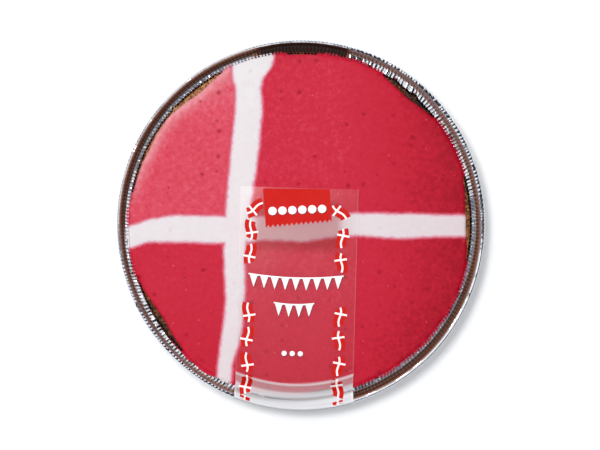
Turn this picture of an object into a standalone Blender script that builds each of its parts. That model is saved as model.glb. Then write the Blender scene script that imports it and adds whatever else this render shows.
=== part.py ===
"""A round chocolate cake with red icing and a white cross, in its crimped foil tray.

The tray holds the sponge. The icing lies on the sponge, and the white cross lies in a
channel of the red. A clear lid rests on the tray's ledge, inside the rolled rim, and a
strip of clear printed film runs over the lid's front and down over the rim.
The origin is the centre of the tray's base, +Z is up, and the film's end is at -Y.
"""

import math

import bpy

MM = 0.001
FINE_MERGE = 0.00001
GAP = 0.3 * MM
SMOOTH_ANGLE = math.radians(35)

# Foil tray: the outline of its lower and outer side.
FOIL = 0.25 * MM
BASE_RADIUS = 70.6 * MM
CORNER_RADIUS = 72.3 * MM
CORNER_HEIGHT = 0.6 * MM
WALL_FOOT_RADIUS = 73.3 * MM
WALL_FOOT_HEIGHT = 2.4 * MM
WALL_TOP_RADIUS = 85.8 * MM
LEDGE_HEIGHT = 27.4 * MM
LEDGE_OUTER_RADIUS = 88.1 * MM
CURL_CENTRE_RADIUS = 90.3 * MM
CURL_CENTRE_HEIGHT = 29.6 * MM
CURL_RADIUS = 0.75 * MM
CURL_FIRST_DEGREES = 147
CURL_LAST_DEGREES = -75
CURL_POINTS = 6
PLEATS = 80
PLEAT_DEPTH = 0.7 * MM

# Sponge, a little inside the pleats.
SPONGE_BASE_HEIGHT = 0.7 * MM
SPONGE_TOP_HEIGHT = 25.4 * MM
SHOULDER_DROP = 1.4 * MM
SHOULDER_WIDTH = 2.2 * MM
SPONGE_CLEARANCE = 1.05 * MM
SPONGE_STEPS = 96
SPONGE_WAVES = 11
SPONGE_WAVE = 0.25 * MM

# Icing: its edge is wavy, and it stops short of the tray in a few places.
ICING_RADIUS = 83.7 * MM
ICING_THICKNESS = 1.7 * MM
ICING_EDGE_ROUND = 0.9 * MM
ICING_STEPS = 120
ICING_RIPPLES = 17
ICING_RIPPLE = 0.12 * MM
# Each bay is its direction in degrees, its depth and its half width in degrees.
ICING_BAYS = (
    (358, 2.9 * MM, 10),
    (50, 2.6 * MM, 7),
    (126, 2.8 * MM, 6),
    (152, 1.2 * MM, 12),
    (212, 2.8 * MM, 9),
)
CHANNEL_DEPTH = 1.1 * MM
CROSS_PROUD = 0.1 * MM
# Each station of a bar is its place along the bar, its centre line and its half width.
UPRIGHT_STATIONS = (
    (90 * MM, -23.0 * MM, 10.5 * MM),
    (72 * MM, -25.8 * MM, 7.6 * MM),
    (50 * MM, -26.0 * MM, 7.2 * MM),
    (20 * MM, -29.2 * MM, 6.7 * MM),
    (-15 * MM, -32.4 * MM, 5.5 * MM),
    (-43 * MM, -32.8 * MM, 5.0 * MM),
    (-68 * MM, -36.8 * MM, 4.1 * MM),
    (-90 * MM, -39.0 * MM, 4.6 * MM),
)
CROSSBAR_STATIONS = (
    (-90 * MM, -7.4 * MM, 5.6 * MM),
    (-76 * MM, -3.9 * MM, 5.9 * MM),
    (-45 * MM, -2.8 * MM, 6.9 * MM),
    (0 * MM, -1.8 * MM, 6.5 * MM),
    (29 * MM, -0.5 * MM, 5.8 * MM),
    (51 * MM, -1.2 * MM, 6.3 * MM),
    (90 * MM, -1.4 * MM, 5.3 * MM),
)
BAR_PIECES_BETWEEN_STATIONS = 3

# Clear lid: the outline of its lower side.
LID_SHEET = 0.4 * MM
LID_TOP_RADIUS = 79.3 * MM
LID_TOP_HEIGHT = 33.0 * MM
LID_EDGE_ROUND = 1.2 * MM
LID_SLOPE_DEGREES = 52
LID_FLANGE_RADIUS = 87.3 * MM
LID_FLANGE_HEIGHT = 28.35 * MM
LID_STEPS = 90

# Film label, stuck on the lid and over the rim.
FILM = 0.2 * MM
FILM_CLEARANCE = 0.35 * MM
FILM_WIDTH = 59.0 * MM
FILM_BACK_END = 17.7 * MM
FILM_BACK_CENTRE = -0.2 * MM
FILM_TURN = math.radians(-1.63)
FILM_SKIRT_HEIGHT = 27.0 * MM
FILM_CURL_DEGREES = (0, 40, 90, 135)
FILM_STEPS = 160
REACH = 120 * MM


def clear_scene():
    for obj in list(bpy.data.objects):
        bpy.data.objects.remove(obj, do_unlink=True)


def new_collection(name):
    collection = bpy.data.collections.new(name)
    bpy.context.scene.collection.children.link(collection)
    return collection


def finish(name, colour, roughness, metallic=0.0, alpha=1.0):
    material = bpy.data.materials.new(name)
    material.use_nodes = True
    shader = material.node_tree.nodes["Principled BSDF"]
    shader.inputs["Base Color"].default_value = (*colour, 1.0)
    shader.inputs["Roughness"].default_value = roughness
    shader.inputs["Metallic"].default_value = metallic
    shader.inputs["Alpha"].default_value = alpha
    return material


def new_object(name, mesh, collection):
    obj = bpy.data.objects.new(name, mesh)
    collection.objects.link(obj)
    return obj


def as_cutter(obj):
    obj.hide_render = True
    obj.display_type = "WIRE"
    return obj


def settle(obj):
    """Gives the object the mesh that its modifiers make, and removes them."""
    graph = bpy.context.evaluated_depsgraph_get()
    mesh = bpy.data.meshes.new_from_object(obj.evaluated_get(graph))
    old = obj.data
    obj.modifiers.clear()
    obj.data = mesh
    mesh.name = obj.name
    bpy.data.meshes.remove(old)


def turned(name, profile, steps, collection):
    """A profile of (radius, height) points turned about Z, as an object with a plain mesh."""
    mesh = bpy.data.meshes.new(name)
    points = [(radius, 0.0, height) for radius, height in profile]
    mesh.from_pydata(points, [(i, i + 1) for i in range(len(points) - 1)], [])
    obj = new_object(name, mesh, collection)
    screw = obj.modifiers.new("turn", "SCREW")
    screw.steps = steps
    screw.render_steps = steps
    screw.use_merge_vertices = True
    screw.merge_threshold = FINE_MERGE
    settle(obj)
    return obj


def reshape(obj, moved):
    """Moves every point of the mesh to moved(radius, angle, height), in the same terms."""
    for vertex in obj.data.vertices:
        x, y, z = vertex.co
        radius, angle, height = moved(math.hypot(x, y), math.atan2(y, x), z)
        vertex.co = (radius * math.cos(angle), radius * math.sin(angle), height)


def thicken(obj, thickness):
    """Gives a turned outline of an under side its wall, towards the upper side."""
    solidify = obj.modifiers.new("sheet", "SOLIDIFY")
    solidify.thickness = thickness
    solidify.offset = -1.0
    solidify.use_even_offset = True


def boolean(obj, cutter, operation):
    cut = obj.modifiers.new(cutter.name, "BOOLEAN")
    cut.operation = operation
    cut.object = cutter
    cut.solver = "EXACT"


def dress(obj, material):
    obj.data.materials.clear()
    obj.data.materials.append(material)
    obj.data.shade_smooth()
    obj.data.set_sharp_from_angle(angle=SMOOTH_ANGLE)


def arc(radius, height, size, degrees):
    """Points on a circle of the profile plane, at the given angles."""
    turns = [math.radians(angle) for angle in degrees]
    return [(radius + size * math.cos(a), height + size * math.sin(a)) for a in turns]


def tray_profile():
    span = CURL_LAST_DEGREES - CURL_FIRST_DEGREES
    angles = [CURL_LAST_DEGREES - span * i / (CURL_POINTS - 1) for i in range(CURL_POINTS)]
    curl = arc(CURL_CENTRE_RADIUS, CURL_CENTRE_HEIGHT, CURL_RADIUS, angles)
    return curl + [
        (LEDGE_OUTER_RADIUS, LEDGE_HEIGHT),
        (WALL_TOP_RADIUS, LEDGE_HEIGHT),
        (WALL_FOOT_RADIUS, WALL_FOOT_HEIGHT),
        (CORNER_RADIUS, CORNER_HEIGHT),
        (BASE_RADIUS, 0.0),
        (0.0, 0.0),
    ]


def pleated(radius, angle, height):
    """Folds the wall in and out, and the ledge up and down, in pleats that die at the base."""
    fold = PLEAT_DEPTH / 2 * math.cos(PLEATS * angle)
    on_ledge = abs(height - LEDGE_HEIGHT) < FINE_MERGE
    if on_ledge and radius < LEDGE_OUTER_RADIUS - FINE_MERGE:
        return radius + fold, angle, height
    if on_ledge:
        return radius, angle, height + fold
    if 0.0 < height < LEDGE_HEIGHT:
        return radius + fold * min(1.0, height / WALL_FOOT_HEIGHT), angle, height
    return radius, angle, height


def make_tray(collection):
    tray = turned("foil_tray", tray_profile(), 2 * PLEATS, collection)
    reshape(tray, pleated)
    thicken(tray, FOIL)
    dress(tray, finish("pressed_foil", (0.80, 0.81, 0.83), 0.22, metallic=1.0))


def wall_radius(height):
    """The outer radius of the tray's wall at a height."""
    share = (height - WALL_FOOT_HEIGHT) / (LEDGE_HEIGHT - WALL_FOOT_HEIGHT)
    return WALL_FOOT_RADIUS + share * (WALL_TOP_RADIUS - WALL_FOOT_RADIUS)


def sponge_profile():
    side_top = SPONGE_TOP_HEIGHT - SHOULDER_DROP
    top_radius = wall_radius(side_top) - SPONGE_CLEARANCE
    foot_radius = wall_radius(WALL_FOOT_HEIGHT) - SPONGE_CLEARANCE
    return [
        (0.0, SPONGE_TOP_HEIGHT),
        (top_radius - SHOULDER_WIDTH, SPONGE_TOP_HEIGHT),
        (top_radius - 0.4 * SHOULDER_WIDTH, SPONGE_TOP_HEIGHT - 0.3 * SHOULDER_DROP),
        (top_radius, side_top),
        (foot_radius, WALL_FOOT_HEIGHT),
        (BASE_RADIUS - SPONGE_CLEARANCE, SPONGE_BASE_HEIGHT),
        (0.0, SPONGE_BASE_HEIGHT),
    ]


def uneven_shoulder(radius, angle, height):
    """The sponge's shoulder is a little uneven where it baked against the tray."""
    inner = wall_radius(SPONGE_TOP_HEIGHT) - 2 * SHOULDER_WIDTH
    if radius < inner or height < SPONGE_TOP_HEIGHT - 2 * SHOULDER_DROP:
        return radius, angle, height
    return radius - SPONGE_WAVE * (1 + math.sin(SPONGE_WAVES * angle)), angle, height


def make_sponge(collection):
    sponge = turned("chocolate_sponge", sponge_profile(), SPONGE_STEPS, collection)
    reshape(sponge, uneven_shoulder)
    dress(sponge, finish("baked_chocolate_sponge", (0.10, 0.045, 0.022), 0.9))


def icing_radius(angle):
    """The icing's edge: a circle with small ripples and a bay at each bare place."""
    radius = ICING_RADIUS + ICING_RIPPLE * math.sin(ICING_RIPPLES * angle)
    for direction, depth, half_width in ICING_BAYS:
        away = (math.degrees(angle) - direction + 180) % 360 - 180
        radius -= depth * math.exp(-((away / half_width) ** 2))
    return radius


def icing_disc(name, bottom, top, collection):
    """A disc with a rounded upper edge that follows the icing's outline."""
    shelf = ICING_RADIUS - ICING_EDGE_ROUND
    rounding = arc(shelf, top - ICING_EDGE_ROUND, ICING_EDGE_ROUND, (90, 45, 0))
    profile = [(0.0, top)] + rounding + [(ICING_RADIUS, bottom), (0.0, bottom)]
    disc = turned(name, profile, ICING_STEPS, collection)
    reshape(disc, lambda r, angle, z: (r * icing_radius(angle) / ICING_RADIUS, angle, z))
    return disc


def smooth_value(stations, place, column):
    """One column of the stations at a place between them, on a smooth curve."""
    last = len(stations) - 1
    for index in range(last):
        start = stations[index]
        end = stations[index + 1]
        share = (place - start[0]) / (end[0] - start[0])
        if share <= 1.0 or index == last - 1:
            break
    before = stations[max(index - 1, 0)][column]
    after = stations[min(index + 2, last)][column]
    slope_in = (end[column] - before) / 2
    slope_out = (after - start[column]) / 2
    square = share * share
    cube = square * share
    return (
        start[column] * (2 * cube - 3 * square + 1)
        + slope_in * (cube - 2 * square + share)
        + end[column] * (3 * square - 2 * cube)
        + slope_out * (cube - square)
    )


def bar_places(stations):
    places = []
    for start, end in zip(stations, stations[1:]):
        for piece in range(BAR_PIECES_BETWEEN_STATIONS):
            share = piece / BAR_PIECES_BETWEEN_STATIONS
            places.append(start[0] + share * (end[0] - start[0]))
    return places + [stations[-1][0]]


def bar(name, stations, upright, grow, bottom, top, collection):
    """One wavy bar of the cross, grown all round, between two heights."""
    rows = []
    for place in bar_places(stations):
        centre = smooth_value(stations, place, 1)
        half = smooth_value(stations, place, 2) + grow
        for side in (-1, 1):
            across = centre + side * half
            rows.append((across, place) if upright else (place, across))
    curve = bpy.data.curves.new(name, "CURVE")
    curve.dimensions = "2D"
    curve.fill_mode = "BOTH"
    curve.extrude = (top - bottom) / 2
    outline = rows[0::2] + rows[1::2][::-1]
    spline = curve.splines.new("POLY")
    spline.points.add(len(outline) - 1)
    for point, (x, y) in zip(spline.points, outline):
        point.co = (x, y, 0.0, 1.0)
    spline.use_cyclic_u = True
    drawn = new_object(name + "_outline", curve, collection)
    graph = bpy.context.evaluated_depsgraph_get()
    mesh = bpy.data.meshes.new_from_object(drawn.evaluated_get(graph))
    bpy.data.objects.remove(drawn, do_unlink=True)
    solid = new_object(name, mesh, collection)
    for vertex in mesh.vertices:
        vertex.co.z += (bottom + top) / 2
    weld = solid.modifiers.new("weld", "WELD")
    weld.merge_threshold = FINE_MERGE
    settle(solid)
    return solid


def cross_bars(name, grow, bottom, top, collection):
    upright = bar(name + "_upright", UPRIGHT_STATIONS, True, grow, bottom, top, collection)
    crossbar = bar(name + "_crossbar", CROSSBAR_STATIONS, False, grow, bottom, top, collection)
    return upright, crossbar


def make_red_icing(collection, cutters):
    bottom = SPONGE_TOP_HEIGHT + GAP
    top = bottom + ICING_THICKNESS
    icing = icing_disc("red_icing", bottom, top, collection)
    floor = top - CHANNEL_DEPTH
    for channel in cross_bars("channel", GAP, floor, top + ICING_THICKNESS, cutters):
        boolean(icing, as_cutter(channel), "DIFFERENCE")
    dress(icing, finish("red_sugar_icing", (0.58, 0.02, 0.05), 0.35))


def make_white_cross(collection, cutters):
    icing_top = SPONGE_TOP_HEIGHT + GAP + ICING_THICKNESS
    bottom = icing_top - CHANNEL_DEPTH + GAP
    top = icing_top + ICING_THICKNESS
    upright, crossbar = cross_bars("white", 0.0, bottom, top, cutters)
    outline_top = icing_top + CROSS_PROUD
    cross = icing_disc("white_cross", bottom - GAP, outline_top, collection)
    boolean(upright, crossbar, "UNION")
    boolean(cross, upright, "INTERSECT")
    as_cutter(upright)
    as_cutter(crossbar)
    dress(cross, finish("white_sugar_icing", (0.82, 0.79, 0.80), 0.35))


def lid_slope(offset):
    """The lid's slope, from its foot up round its top edge, at an offset from its lower side."""
    edge_height = LID_TOP_HEIGHT - LID_EDGE_ROUND
    normal = 90 - LID_SLOPE_DEGREES
    angles = (normal, (normal + 90) / 2, 90)
    edge = arc(LID_TOP_RADIUS, edge_height, LID_EDGE_ROUND + offset, angles)
    radius, height = edge[0]
    foot_height = LID_FLANGE_HEIGHT + offset
    run = (height - foot_height) / math.tan(math.radians(LID_SLOPE_DEGREES))
    return [(radius + run, foot_height)] + edge


def lid_profile():
    flange = [(LID_FLANGE_RADIUS, LID_FLANGE_HEIGHT)]
    return flange + lid_slope(0.0) + [(0.0, LID_TOP_HEIGHT)]


def make_lid(collection):
    lid = turned("clear_lid", lid_profile(), LID_STEPS, collection)
    thicken(lid, LID_SHEET)
    dress(lid, finish("clear_thermoformed_plastic", (0.9, 0.92, 0.93), 0.05, alpha=0.15))


def film_profile():
    """The film's lower side: over the lid, down to its flange, then over the rolled rim."""
    above_lid = LID_SHEET + FILM_CLEARANCE
    curl = CURL_RADIUS + FOIL + FILM_CLEARANCE
    over_rim = arc(CURL_CENTRE_RADIUS, CURL_CENTRE_HEIGHT, curl, FILM_CURL_DEGREES)
    skirt = (CURL_CENTRE_RADIUS + curl + FILM_CLEARANCE / 2, FILM_SKIRT_HEIGHT)
    groove = (LEDGE_OUTER_RADIUS - FILM, LID_FLANGE_HEIGHT + above_lid)
    top = (0.0, LID_TOP_HEIGHT + above_lid)
    return [skirt, *over_rim, groove, *lid_slope(above_lid), top]


def film_outline(cutters):
    """A block as wide as the film, from its back end to beyond the rim at the front."""
    bpy.ops.mesh.primitive_cube_add(size=1.0)
    block = bpy.context.active_object
    block.name = "film_block"
    for holder in list(block.users_collection):
        holder.objects.unlink(block)
    cutters.objects.link(block)
    block.scale = (FILM_WIDTH, REACH, REACH)
    block.rotation_euler = (0.0, 0.0, FILM_TURN)
    forward = REACH / 2
    x = FILM_BACK_CENTRE + forward * math.sin(FILM_TURN)
    block.location = (x, FILM_BACK_END - forward * math.cos(FILM_TURN), LID_TOP_HEIGHT)
    return as_cutter(block)


def make_film(collection, cutters):
    film = turned("film_label", film_profile(), FILM_STEPS, collection)
    thicken(film, FILM)
    boolean(film, film_outline(cutters), "INTERSECT")
    dress(film, finish("clear_printed_film", (0.80, 0.25, 0.28), 0.2, alpha=0.6))


def main():
    clear_scene()
    parts = new_collection("chocolate_cake")
    cutters = new_collection("cutters")
    make_tray(parts)
    make_sponge(parts)
    make_red_icing(parts, cutters)
    make_white_cross(parts, cutters)
    make_lid(parts)
    make_film(parts, cutters)


main()
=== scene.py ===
"""The finish of a red and white iced chocolate cake in its crimped foil tray.

The tray, the sponge, the two icings, the clear lid and the printed film each get a piece
that stands for their solid. The print is thin shapes that lie on the film.
"""
import math
from functools import partial

import bmesh
import bpy
import numpy as np
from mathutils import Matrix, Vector, geometry, noise


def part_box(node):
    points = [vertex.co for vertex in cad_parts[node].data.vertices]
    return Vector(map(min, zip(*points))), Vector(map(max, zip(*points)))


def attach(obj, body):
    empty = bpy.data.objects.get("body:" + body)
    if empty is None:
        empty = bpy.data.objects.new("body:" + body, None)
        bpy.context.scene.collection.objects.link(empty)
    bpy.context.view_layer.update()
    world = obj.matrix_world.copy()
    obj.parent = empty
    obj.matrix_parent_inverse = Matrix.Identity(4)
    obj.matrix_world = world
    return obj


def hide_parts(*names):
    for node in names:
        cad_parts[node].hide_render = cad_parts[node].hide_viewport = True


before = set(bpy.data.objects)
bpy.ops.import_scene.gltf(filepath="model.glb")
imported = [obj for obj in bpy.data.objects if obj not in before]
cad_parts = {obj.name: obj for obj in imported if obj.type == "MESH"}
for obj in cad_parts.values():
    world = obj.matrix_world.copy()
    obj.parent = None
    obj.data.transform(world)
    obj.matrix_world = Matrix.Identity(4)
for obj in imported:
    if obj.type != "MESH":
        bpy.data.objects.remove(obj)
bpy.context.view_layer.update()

MM = 0.001
BODY = "root"
TURN = 2 * math.pi
TINY = 1e-6
# A place multiplied by this keeps only its level part.
LEVEL = (1.0, 1.0, 0.0)
# Nearly all of a noise lies between these.
NOISE_RANGE = {"From Min": 0.3, "From Max": 0.7}

_, TRAY_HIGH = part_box("foil_tray")
SPONGE_LOW, SPONGE_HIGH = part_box("chocolate_sponge")
_, ICING_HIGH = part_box("red_icing")
LID_LOW, LID_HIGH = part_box("clear_lid")
FILM_LOW, FILM_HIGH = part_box("film_label")

# Foil tray.
FOIL = 0.12 * MM
BASE_RADIUS = 70.6 * MM
WALL_FOOT = (73.3 * MM, 2.4 * MM)
WALL_TOP_RADIUS = 85.5 * MM
LEDGE_HEIGHT = 27.4 * MM
LEDGE_OUTER_RADIUS = 88.1 * MM
CURL = 0.95 * MM
CURL_CENTRE = (TRAY_HIGH.x - CURL - FOIL / 2, TRAY_HIGH.z - CURL - FOIL / 2)
RIB_RADII = (30 * MM, 54 * MM)
RIB_HEIGHT = 0.6 * MM
PLEATS = 312
POINTS_IN_A_PLEAT = 4
BASE_COLUMNS = 104
# How many rows lie on the rim's outer side, which is left without the brown band and its painted shade.
OUTER_ROWS = 14
# How brown the rim is, by the share of the way from the brown band's start to its end. Beside the ledge it
# is painted dark, a painted shade in the rim's corner.
BROWN_AND_SHADE = ((-0.1, 0.0, 0.15, 0.3, 0.6, 0.8, 1.0, 1.1), (0.0, 1.0, 1.05, 0.8, 0.68, 0.52, 0.25, 0.0))
# The rim round the tray: direction in degrees, how brown its band is there, where the band starts and ends,
# in mm from the ledge's outer edge, how deep and how uneven its pleats are, and how dark the ledge is
# painted, a painted dark reflection.
RIM_ROUND = np.array((
    (0, 0.9, -0.65, 1.6, 0.7, 0.6, 0), (12, 0.8, -0.55, 1.45, 1, 0.7, 0), (25, 0.6, -0.6, 1.5, 1, 0.8, 0),
    (50, 0.5, -0.5, 1.6, 1, 0.8, 0), (73, 0.6, -0.3, 1.6, 1, 0.8, 0), (75, 1, -0.3, 1.75, 0.5, 0.2, 1),
    (102, 1, -0.3, 1.75, 0.5, 0.2, 1), (108, 1, -1, 2.1, 0.4, 0.6, 0), (135, 1, -1.1, 2.1, 0.4, 0.6, 0),
    (165, 1, -1.2, 2.2, 0.4, 0.6, 0), (180, 0.9, -0.8, 2.1, 0.45, 0.6, 0),
    (195, 0.7, -0.2, 1.8, 0.9, 0.7, 0), (225, 0.45, -0.1, 1.6, 1, 0.8, 0), (235, 0.4, -0.3, 1.6, 1, 0.8, 0),
    (250, 0.5, -0.6, 1.6, 1, 0.8, 0), (262, 1, -1.5, 1.9, 0.6, 0.6, 0), (290, 1.05, -1, 1.85, 0.35, 0.6, 0),
    (310, 1.05, -0.85, 1.85, 0.35, 0.6, 0), (332, 1.05, -0.9, 1.6, 0.35, 0.6, 0),
    (352, 0.95, -0.7, 1.65, 0.5, 0.6, 0)))
# Where the ledge's inner edge is pressed outwards, first in a broad shift and then in narrow notches:
# direction in degrees, depth in mm, half width in degrees.
NOTCHES = (
    (230, 1.25, 22), (48.2, 1, 1), (56.5, 1.1, 1.1), (65.8, 0.8, 0.7), (119.9, 0.6, 0.5), (137.6, 0.7, 0.6),
    (296.7, 0.7, 0.5), (305, 0.5, 0.4), (314.4, 0.7, 0.5), (337.5, 0.8, 0.6))
# How far the soft foil rim is out of round: direction in degrees, then the ledge's outer corner and the
# rim's outer edge, in mm outwards.
OUT_OF_ROUND = np.array((
    (0, -0.05, 0.25), (12, -0.25, 0.3), (38, -0.25, 0.35), (48, 0.55, 0.4), (60, 0.7, 0.4), (75, 0.45, -0.1),
    (98, 0.5, -0.35), (107, 0.05, -0.4), (140, -0.1, -0.45), (190, 0, -0.35), (212, 0.25, -0.1),
    (225, 0.7, 0), (245, 1.6, 0.65), (268, 1.5, 1), (290, 1.2, 1.15), (302, 0.95, 1.1), (318, 0.65, 0.95),
    (335, 0.4, 0.5), (350, 0.1, 0.3)))

# Sponge.
SHOULDER_RADIUS = 79.0 * MM
SHOULDER_HEIGHT = 26.3 * MM
SPONGE_EDGE_RADIUS = 84.4 * MM
SPONGE_EDGE_HEIGHT = 26.5 * MM
SPONGE_COLUMNS = 900
# How toasted its rim is, from 0 for dark to 1 for tan, by direction in degrees.
TOASTED = np.array((
    (0, 0.45), (25, 0.3), (45, 0.15), (58, 0.2), (85, 0.4), (115, 0.65), (150, 0.65), (180, 0.42),
    (200, 0.28), (222, 0.24), (240, 0.28), (300, 0.5), (345, 0.5)))

# Icing: bays where it stops short of the tray, and below 0 bulges where it runs onto the ledge. Each is its
# direction in degrees, its depth in mm and its half width in degrees.
ICING_RADIUS = 85.2 * MM
ICING_BAYS = (
    (2, 2.9, 12), (50, 2.9, 9), (89, 0.8, 13), (128, 3.0, 8.5), (154, 1.4, 18), (190, -0.8, 6),
    (213, 2.3, 10), (236, -2.7, 8), (279, 1.4, 10), (333, -0.7, 5))
ICING_EDGE = 1.3 * MM
ICING_BODY = 1.4 * MM
CROSS_RISE = 0.10 * MM
RAGGED_EDGE = 0.25 * MM
POINT_SPACING = 0.95 * MM
EDGE_POINTS = 720
# How pale each field of red is, from 0 to 1, at the back and the front of its left and right side: partly
# its own tone, partly painted light, paler at the back on the left where the light comes from.
FIELD_TONE_AND_LIGHT = {"back left": 0.53, "back right": 0.35, "front left": 0.3, "front right": 0.35}
# It grows paler towards the back on the left, and deeper towards the right and the front, as painted light
# falling from the back left: from, to, change.
PALER_BACK = (45 * MM, 75 * MM, 0.12)
DEEPER_RIGHT = (20 * MM, 85 * MM, -0.35)
DEEPER_FRONT = (30 * MM, 80 * MM, -0.13)
# It is paler along its edge at the back on the left, a painted sheen, and deeper along it on the right:
# direction, change.
EDGE_SHEEN_AND_DEPTH = np.array((
    (18, 0), (35, -0.09), (62, -0.09), (75, 0), (100, 0), (118, 0.28), (135, 0.4), (155, 0.4), (168, 0.25),
    (177, 0)))
EDGE_SHEEN_AND_DEPTH_REACH = 9 * MM

# Each station of a bar is its place along the bar, its centre line and its half width, in mm.
UPRIGHT = (
    (90, -23.4, 11.0), (78, -24.1, 9.9), (71.9, -25.9, 7.8), (67.7, -25.8, 6.7), (59.9, -25.6, 6.9),
    (41.9, -26.9, 7.1), (26.8, -28.6, 6.9), (-14.3, -32.5, 5.6), (-42.6, -32.6, 4.9), (-55.5, -34.2, 5.1),
    (-68, -36.9, 3.9), (-90, -38.6, 4.6))
CROSSBAR = (
    (-90, -7.0, 5.6), (-84.8, -6.6, 5.7), (-75.9, -3.7, 5.9), (-68.4, -2.9, 6.5), (-38.1, -2.9, 6.9),
    (-26.0, -2.6, 6.6), (-18.7, -2.3, 6.3), (-12.3, -2.3, 6.2), (-4.8, -2.5, 6.3), (0.2, -2.75, 6.55),
    (5.1, -2.35, 6.45), (12.6, -1.45, 6.05), (28.5, -0.5, 5.8), (50.9, -1.2, 6.3), (69.8, -1.0, 5.6),
    (90, -1.3, 5.4))

# Clear lid and film.
CLEAR = "#fefefe"
LID_SHEET = 0.3 * MM
LID_CORNER_RADIUS = 79.5 * MM
LID_FOOT_RADIUS = 83.6 * MM
LID_BEND = 0.8 * MM
LID_COLUMNS = 240
FILM_WIDTH = 58.2 * MM
FILM_BACK = np.array((-0.2 * MM, 17.7 * MM))
FILM_TURN = math.radians(-1.63)
FILM_ACROSS = np.array((math.cos(FILM_TURN), math.sin(FILM_TURN)))
FILM_ALONG = np.array((math.sin(FILM_TURN), -math.cos(FILM_TURN)))
FILM_COLUMNS = 60
FILM_LEVEL_ROWS = 40
FILM_EDGE = 0.4 * MM
# A painted highlight along the film's side edges.
FILM_EDGE_HIGHLIGHT = 0.16
# How much painted haze and highlight the film has at each radius: a slight haze of its own on the lid, a
# painted highlight where it bends at the lid's corner, painted reflection below it and on the ledge, a
# painted highlight where it folds into the corner of the rim, and painted reflection over the rim.
FILM_HAZE_AND_HIGHLIGHT = (
    (78.9 * MM, 0.015), (79.4 * MM, 0.45), (80.1 * MM, 0.62), (80.7 * MM, 0.25), (83.2 * MM, 0.28),
    (84.3 * MM, 0.60), (86.1 * MM, 0.62), (86.75 * MM, 0.18), (87.4 * MM, 0.60), (88.1 * MM, 0.88),
    (91.0 * MM, 0.82))
# The film's foot lies a little further in on the right: distance inwards for each metre to the right.
FILM_FOOT_TURN = 0.017
# A soft shadow of the patch is painted on the film in front of it: its place across and along, its half
# width and half length, how far it fades out, in mm, and its colour.
FILM_PATCH_SHADOW = (-0.5, 18.5, 23.5, 14.5, 5.0)
FILM_PATCH_SHADOW_COLOUR = "#ead1d2"

# Print. Its places are in mm across and along the film, from the middle of the film's back end.
INK = 0.02 * MM
FLAG_LENGTH = 8.9
FLAG_WIDTH = 5.3
FLAG_BAR = 0.95
# A flag's wave: its height, and how many lie in the flag's length. The arm of its cross is at a share of it.
FLAG_WAVE = 0.6
FLAG_WAVES = 0.9
FLAG_ARM = 0.16
LEFT_FLAGS = (21.3, 33.1, 62.2, 74.2, 86.9, 98.0, 108.5)
RIGHT_FLAGS = (24.4, 36.5, 63.3, 75.0, 87.7, 98.8, 109.6)
LEFT_COLUMN = -23.4
RIGHT_COLUMN = 21.8
PENNANT_ROPE = 0.7
PENNANT_DROP = 6.0
PATCH_CORNERS = ((-18.2, 0.7), (14.8, 0.2), (16.4, 16.5), (-16.2, 20.4))
PATCH_TEETH = 14
PATCH_TOOTH = 1.5
# The pennants and dots have a dark edge printed on their right and front.
PRINT_SHADE_OFFSET = (0.28, 0.3)

# Studio.
FLOOR_REACH = 4.0
SOFTBOX_DISTANCE = 1.5
DIMMEST = 0.03
# Paler walls of the dim room: direction and height in degrees, half width in degrees, and strength.
ROOM = ((235, 22, 44, 0.42), (55, 22, 40, 0.2))
# A ring of diffusers over it: its lower and upper height in degrees, how softly they end, and its strength.
RING = (54, 77, 3, 1.2)

# Photograph: its width in pixels, the tray's centre in it, and its scale.
PHOTO_WIDTH = 600
PHOTO_MIDDLE = (300, 225)
TRAY_CENTRE_PIXEL = (300.15, 223.75)
PIXEL = 0.497 * MM
CAMERA_HEIGHT = 1.5
SENSOR = 36.0


def linear(hex_code):
    """An sRGB hex colour as linear RGBA."""
    channels = [int(hex_code[i:i + 2], 16) / 255 for i in (1, 3, 5)]
    return [c / 12.92 if c <= 0.04045 else ((c + 0.055) / 1.055) ** 2.4 for c in channels] + [1.0]


def supply(node, inputs):
    """Gives a node its inputs, by name or in order. A node feeds an input with its first output in use."""
    for key, value in inputs.items() if isinstance(inputs, dict) else enumerate(inputs):
        if isinstance(value, bpy.types.Node):
            value = next(output for output in value.outputs if output.enabled)
        if isinstance(value, bpy.types.NodeSocket):
            node.id_data.links.new(value, node.inputs[key])
        else:
            node.inputs[key].default_value = value


def add_node(tree, kind, inputs=(), **settings):
    """Adds a node with its settings and its inputs. A kind without the word Node is a shader node's."""
    made = tree.nodes.new(kind if "Node" in kind else "ShaderNode" + kind)
    for name, value in settings.items():
        setattr(made, name, value)
    supply(made, inputs)
    return made


def set_stops(ramp_node, stops):
    """Gives a colour ramp its stops, each a place and a colour. The first is at 0 and the last at 1."""
    elements = ramp_node.color_ramp.elements
    for end, (_, hue) in zip(elements, (stops[0], stops[-1])):
        end.color = linear(hue)
    for place, hue in stops[1:-1]:
        elements.new(place).color = linear(hue)


def new_material(name):
    """A material with only its Principled shader. Returns it, what adds a node to it, and the shader."""
    material = bpy.data.materials.new(name)
    material.use_nodes = True
    tree = material.node_tree
    return material, partial(add_node, tree), tree.nodes["Principled BSDF"]


# Materials

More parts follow.
